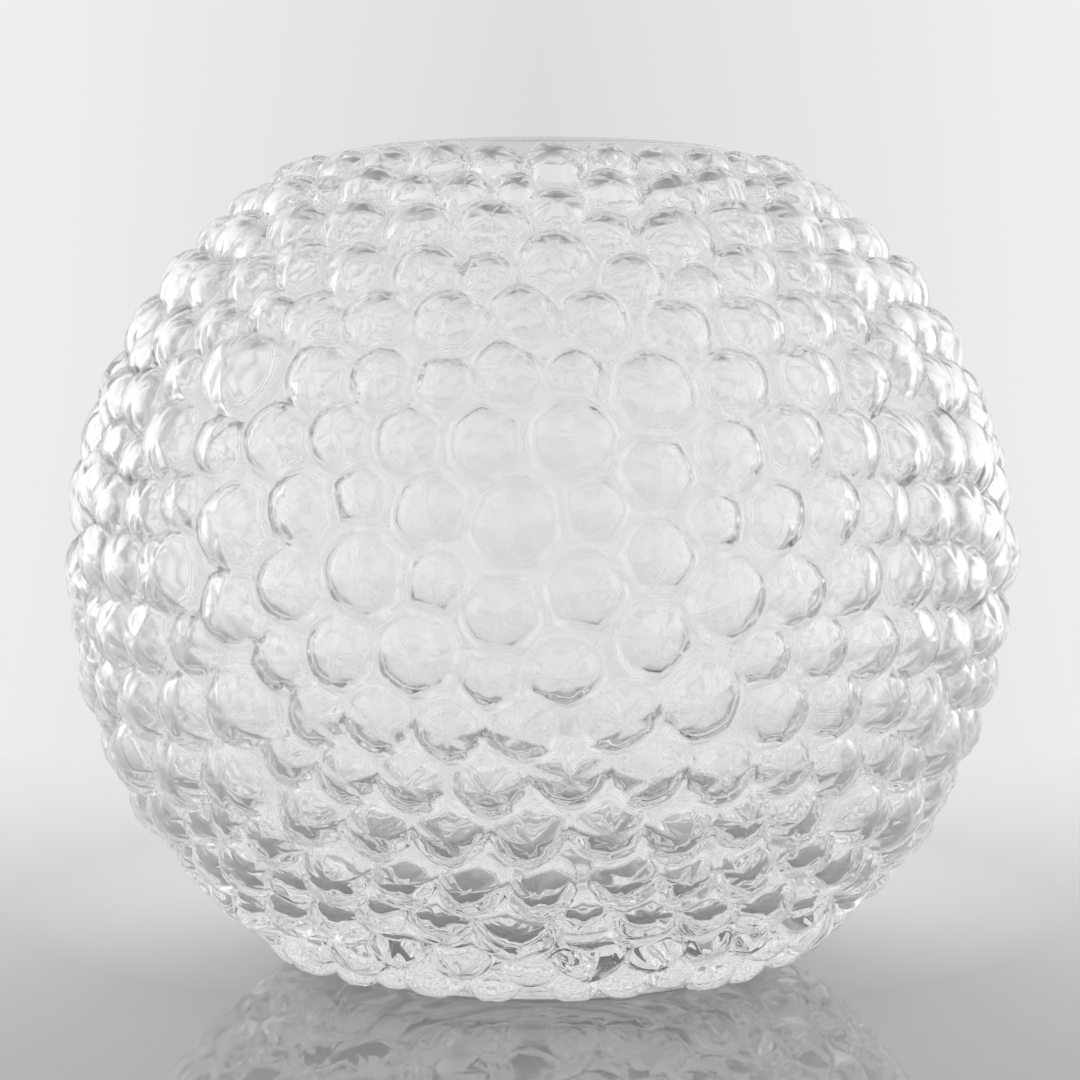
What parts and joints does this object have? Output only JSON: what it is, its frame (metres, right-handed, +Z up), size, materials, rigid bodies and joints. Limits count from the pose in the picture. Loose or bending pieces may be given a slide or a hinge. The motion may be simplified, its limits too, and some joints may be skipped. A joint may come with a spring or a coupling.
{
  "type": "glass vase",
  "caption": "Round clear glass vase covered all over with raised hobnails, with a plain rounded lip and a flat foot, for holding cut flowers in water.",
  "frame": {"origin": "middle of the foot, on the surface that the vase stands on", "axes": "+Z up along the axis of the globe; +X and +Y level, with -Y towards the viewer of the picture"},
  "size_m": [0.2853, 0.2849, 0.2419],
  "materials": {
    "clear_glass": "fire-polished gloss"
  },
  "bodies": {
    "root": {"vase_body": "clear_glass"}
  },
  "joints": []
}
